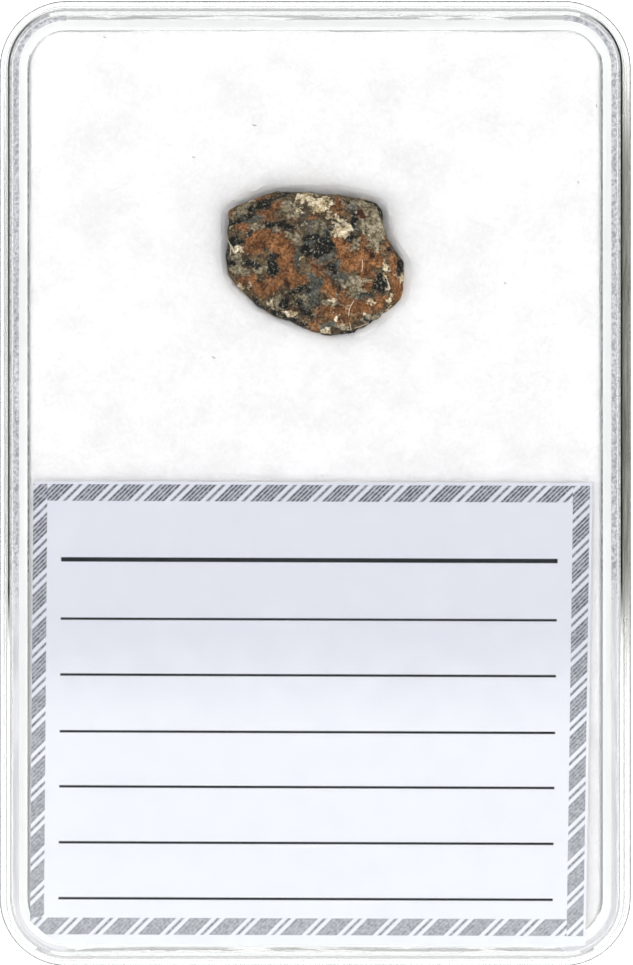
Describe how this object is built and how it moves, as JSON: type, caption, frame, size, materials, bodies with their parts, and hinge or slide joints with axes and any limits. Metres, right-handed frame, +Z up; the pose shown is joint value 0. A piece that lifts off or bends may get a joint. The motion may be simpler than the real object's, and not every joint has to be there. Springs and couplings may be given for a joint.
{
  "type": "lunar meteorite in a specimen box",
  "caption": "Broken fragment of lunar breccia on white wadding in a clear lift-lid specimen box, with a bordered paper label under the lid.",
  "frame": {"origin": "middle of the underside of the closed box, on the surface that it rests on", "axes": "+X across the box, +Y along it from the label towards the stone, +Z up through the lid"},
  "size_m": [0.038, 0.058, 0.016],
  "materials": {
    "clear_plastic": "gloss",
    "wadding": "matte",
    "paper": "matte",
    "breccia": "matte"
  },
  "bodies": {
    "root": {"meteorite": "breccia", "padding": "wadding", "label": "paper", "tray": "clear_plastic", "lid": "clear_plastic"}
  },
  "joints": []
}
